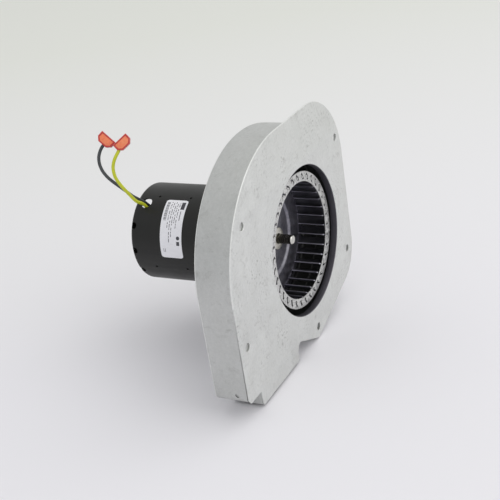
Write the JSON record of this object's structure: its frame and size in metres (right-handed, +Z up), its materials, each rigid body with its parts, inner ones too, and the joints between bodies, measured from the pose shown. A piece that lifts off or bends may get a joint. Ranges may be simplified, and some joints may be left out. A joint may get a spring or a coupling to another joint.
{
  "type": "combustion fan",
  "caption": "Furnace draft inducer: a forward-curved wheel in a sheet-metal scroll, turned by a shaded-pole motor on standoffs, with two stub leads.",
  "frame": {"origin": "on the shaft axis, at the front face of the mounting plate", "axes": "+Y along the shaft from the inlet towards the motor, -Z the way the discharge points, +X to the right seen from the inlet, +Z up"},
  "size_m": [0.219, 0.1678, 0.1984],
  "materials": {
    "aluminised_steel": "matt aluminised sheet with faint spangle and smudges",
    "wheel_steel": "satin galvanised sheet",
    "zinc_steel": "zinc plated",
    "black_steel": "black oxide",
    "turned_steel": "turned",
    "black_paint": "satin black paint",
    "cast_aluminium": "as cast",
    "bronze": "sintered bronze",
    "lamination_steel": "blued laminations",
    "copper": "enamelled copper wire",
    "fibre": "fibre washer",
    "black_vinyl": "wire insulation",
    "yellow_vinyl": "wire insulation",
    "orange_vinyl": "translucent vinyl insulator",
    "tinned_brass": "tinned",
    "label_paper": "printed label"
  },
  "bodies": {
    "housing": {"mounting_plate": "aluminised_steel", "scroll_housing": "aluminised_steel", "outlet_collar": "aluminised_steel", "motor_shell": "black_paint", "front_end_bell": "cast_aluminium", "front_bearing": "bronze", "rear_bearing": "bronze", "front_bearing_retainer": "zinc_steel", "rear_bearing_retainer": "zinc_steel", "rating_label": "label_paper", "stator_core": "lamination_steel", "lead_black": "black_vinyl", "lead_yellow": "yellow_vinyl", "terminal_black": "orange_vinyl", "terminal_yellow": "orange_vinyl", "receptacle_black": "tinned_brass", "receptacle_yellow": "tinned_brass", "stator_coil_1": "copper", "shading_ring_1": "copper", "standoff_1": "zinc_steel", "mounting_bolt_1": "zinc_steel", "stator_coil_2": "copper", "shading_ring_2": "copper", "standoff_2": "zinc_steel", "mounting_bolt_2": "zinc_steel", "stator_coil_3": "copper", "shading_ring_3": "copper", "standoff_3": "zinc_steel", "mounting_bolt_3": "zinc_steel", "stator_coil_4": "copper", "shading_ring_4": "copper", "standoff_4": "zinc_steel", "mounting_bolt_4": "zinc_steel"},
    "rotor": {"shaft": "turned_steel", "rotor_core": "lamination_steel", "rotor_end_ring_front": "cast_aluminium", "rotor_end_ring_rear": "cast_aluminium", "thrust_washer_front": "fibre", "thrust_washer_rear": "fibre", "cooling_fan": "cast_aluminium", "wheel_hub": "zinc_steel", "wheel_set_screw": "black_steel", "wheel_back_plate": "wheel_steel", "wheel_blades": "wheel_steel", "wheel_front_ring": "aluminised_steel"}
  },
  "joints": [
    {"name": "shaft_spin", "type": "hinge", "parent": "housing", "child": "rotor", "pos_m": [0, 0.078, 0], "axis": [0, 1, 0], "continuous": true}
  ]
}
